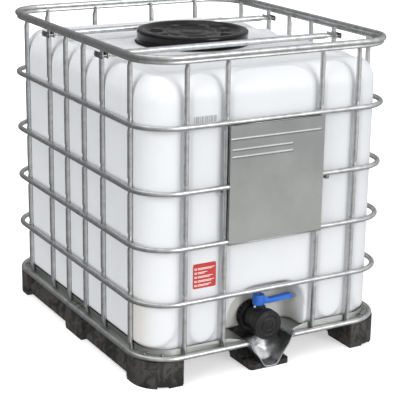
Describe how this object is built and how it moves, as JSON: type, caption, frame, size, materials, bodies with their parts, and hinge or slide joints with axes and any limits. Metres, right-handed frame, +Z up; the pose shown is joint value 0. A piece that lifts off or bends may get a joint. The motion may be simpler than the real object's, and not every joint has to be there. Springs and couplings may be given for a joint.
{
  "type": "intermediate bulk container",
  "caption": "Caged plastic liquid tank on a runner pallet, with a screw lid on top and a quarter-turn lever valve with a screw cap at the bottom front.",
  "frame": {"origin": "on the floor under the centre of the footprint", "axes": "+Z up, +Y along the length away from the outlet, +X across the width; the outlet valve faces -Y"},
  "size_m": [1, 1.2024, 1.1412],
  "materials": {
    "galvanised_tube": "galvanised, satin",
    "galvanised_sheet": "galvanised sheet with spangle",
    "zinc_fastener": "zinc plated",
    "recycled_plastic": "rough recycled moulding with flow marks",
    "bottle_plastic": "translucent blow moulding",
    "label_red": "printed film",
    "lid_plastic": "moulded, satin gloss",
    "seal_rubber": "matt",
    "valve_plastic": "moulded, fine grain",
    "lever_blue": "moulded, satin gloss",
    "pin_white": "moulded"
  },
  "bodies": {
    "root": {"rail_bottom": "galvanised_tube", "rail_lower": "galvanised_tube", "rail_upper": "galvanised_tube", "rail_top": "galvanised_tube", "upright_left_1": "galvanised_tube", "upright_left_2": "galvanised_tube", "upright_left_3": "galvanised_tube", "upright_left_4": "galvanised_tube", "upright_left_5": "galvanised_tube", "upright_left_6": "galvanised_tube", "upright_right_1": "galvanised_tube", "upright_right_2": "galvanised_tube", "upright_right_3": "galvanised_tube", "upright_right_4": "galvanised_tube", "upright_right_5": "galvanised_tube", "upright_right_6": "galvanised_tube", "upright_front_1": "galvanised_tube", "upright_front_2": "galvanised_tube", "upright_front_3": "galvanised_tube", "upright_front_4": "galvanised_tube", "upright_rear_1": "galvanised_tube", "upright_rear_2": "galvanised_tube", "upright_rear_3": "galvanised_tube", "upright_rear_4": "galvanised_tube", "base_rim_tube": "galvanised_tube", "top_rim": "galvanised_tube", "rim_sleeve": "galvanised_tube", "crossbar_front": "galvanised_tube", "crossbar_rear": "galvanised_tube", "label_panel": "galvanised_sheet", "base_tray": "galvanised_sheet", "valve_chute": "galvanised_sheet", "hold_down_plates": "galvanised_sheet", "crossbar_clamps": "galvanised_sheet", "crossbar_bolts": "zinc_fastener", "base_bolts": "zinc_fastener", "chute_bolts": "zinc_fastener", "panel_clips": "zinc_fastener", "runner_left": "recycled_plastic", "runner_right": "recycled_plastic", "centre_runner": "recycled_plastic", "bottle": "bottle_plastic", "bottle_label": "label_red", "neck_collar": "seal_rubber", "outlet_seal": "seal_rubber", "stem_seal": "seal_rubber", "union_nut": "valve_plastic", "valve_body": "valve_plastic", "seal_pin": "pin_white"},
    "lid_seal": {"lid_gasket": "seal_rubber"},
    "lid_cover": {"lid": "lid_plastic"},
    "spindle": {"valve_stem": "valve_plastic", "valve_disc": "valve_plastic", "valve_lever": "lever_blue", "lever_screw": "zinc_fastener"},
    "cap_seal": {"cap_gasket": "seal_rubber"},
    "cap": {"outlet_cap": "valve_plastic"}
  },
  "joints": [
    {"name": "lid_lift", "type": "slide", "parent": "root", "child": "lid_seal", "axis": [0, 0, 1], "range_m": [0, 0.15]},
    {"name": "lid_turn", "type": "hinge", "parent": "lid_seal", "child": "lid_cover", "pos_m": [0, 0, 1.1], "axis": [0, 0, 1], "range_deg": [0, 540]},
    {"name": "valve_turn", "type": "hinge", "parent": "root", "child": "spindle", "pos_m": [0, -0.502, 0.15], "axis": [0, 0, 1], "range_deg": [-90, 0]},
    {"name": "cap_pull", "type": "slide", "parent": "root", "child": "cap_seal", "axis": [0, -1, 0], "range_m": [0, 0.12]},
    {"name": "cap_turn", "type": "hinge", "parent": "cap_seal", "child": "cap", "pos_m": [0, -0.566, 0.15], "axis": [0, -1, 0], "range_deg": [0, 720]}
  ]
}
